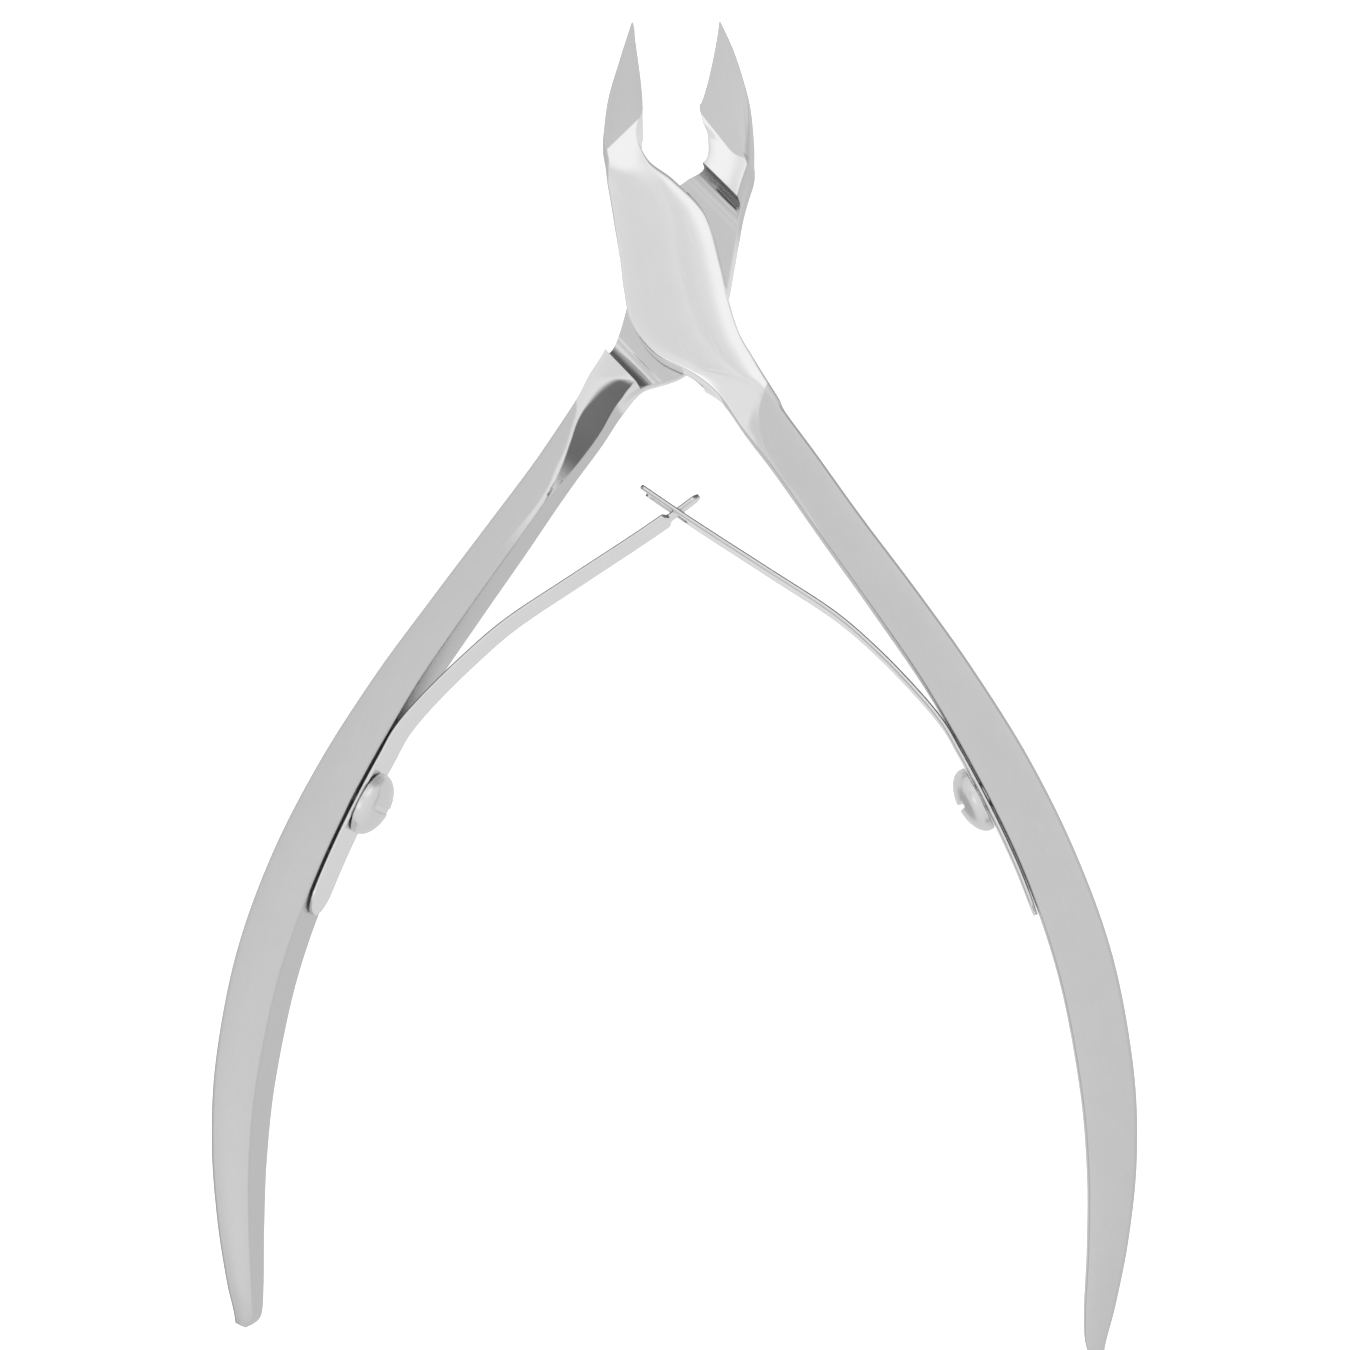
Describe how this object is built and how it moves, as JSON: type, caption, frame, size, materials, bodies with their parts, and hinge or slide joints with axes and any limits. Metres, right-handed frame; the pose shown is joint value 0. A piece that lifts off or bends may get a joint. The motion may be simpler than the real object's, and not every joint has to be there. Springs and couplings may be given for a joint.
{
  "type": "cuticle nipper",
  "caption": "Stainless cuticle nipper with a lap joint, pointed full jaws, bowed handles and crossing leaf springs that push it open.",
  "frame": {"origin": "on the pivot axis, at the front face of the lap joint", "axes": "+Y from the pivot to the jaw tips, +Z out of the front face, +X to the right seen from the front; the handles run toward -Y"},
  "size_m": [0.0703, 0.1045, 0.0052],
  "materials": {
    "lever_steel": "satin forged stainless steel, polished to a mirror at the joint",
    "spring_steel": "bright rolled spring steel",
    "screw_steel": "polished turned steel"
  },
  "bodies": {
    "rear_half": {"rear_lever": "lever_steel", "left_leaf_foot": "spring_steel", "left_spring_screw": "screw_steel"},
    "front_half": {"front_lever": "lever_steel", "pivot_screw": "screw_steel", "right_leaf_foot": "spring_steel", "right_spring_screw": "screw_steel"},
    "left_leaf": {"left_leaf_spring": "spring_steel"},
    "right_leaf": {"right_leaf_spring": "spring_steel"}
  },
  "joints": [
    {"name": "main_pivot", "type": "hinge", "parent": "rear_half", "child": "front_half", "pos_m": [0, 0, -0.0026], "axis": [0, 0, -1], "range_deg": [0, 18.2]},
    {"name": "left_leaf_flex", "type": "hinge", "parent": "rear_half", "child": "left_leaf", "pos_m": [-0.01988, -0.03352, -0.0026], "axis": [0, 0, 1], "range_deg": [0, 8.6]},
    {"name": "right_leaf_flex", "type": "hinge", "parent": "front_half", "child": "right_leaf", "pos_m": [0.01953, -0.03373, -0.0026], "axis": [0, 0, -1], "range_deg": [0, 8.6]}
  ],
  "couplings": [
    {"joint": "left_leaf_flex", "follows": "main_pivot", "ratio": 0.46},
    {"joint": "right_leaf_flex", "follows": "main_pivot", "ratio": 0.46}
  ]
}
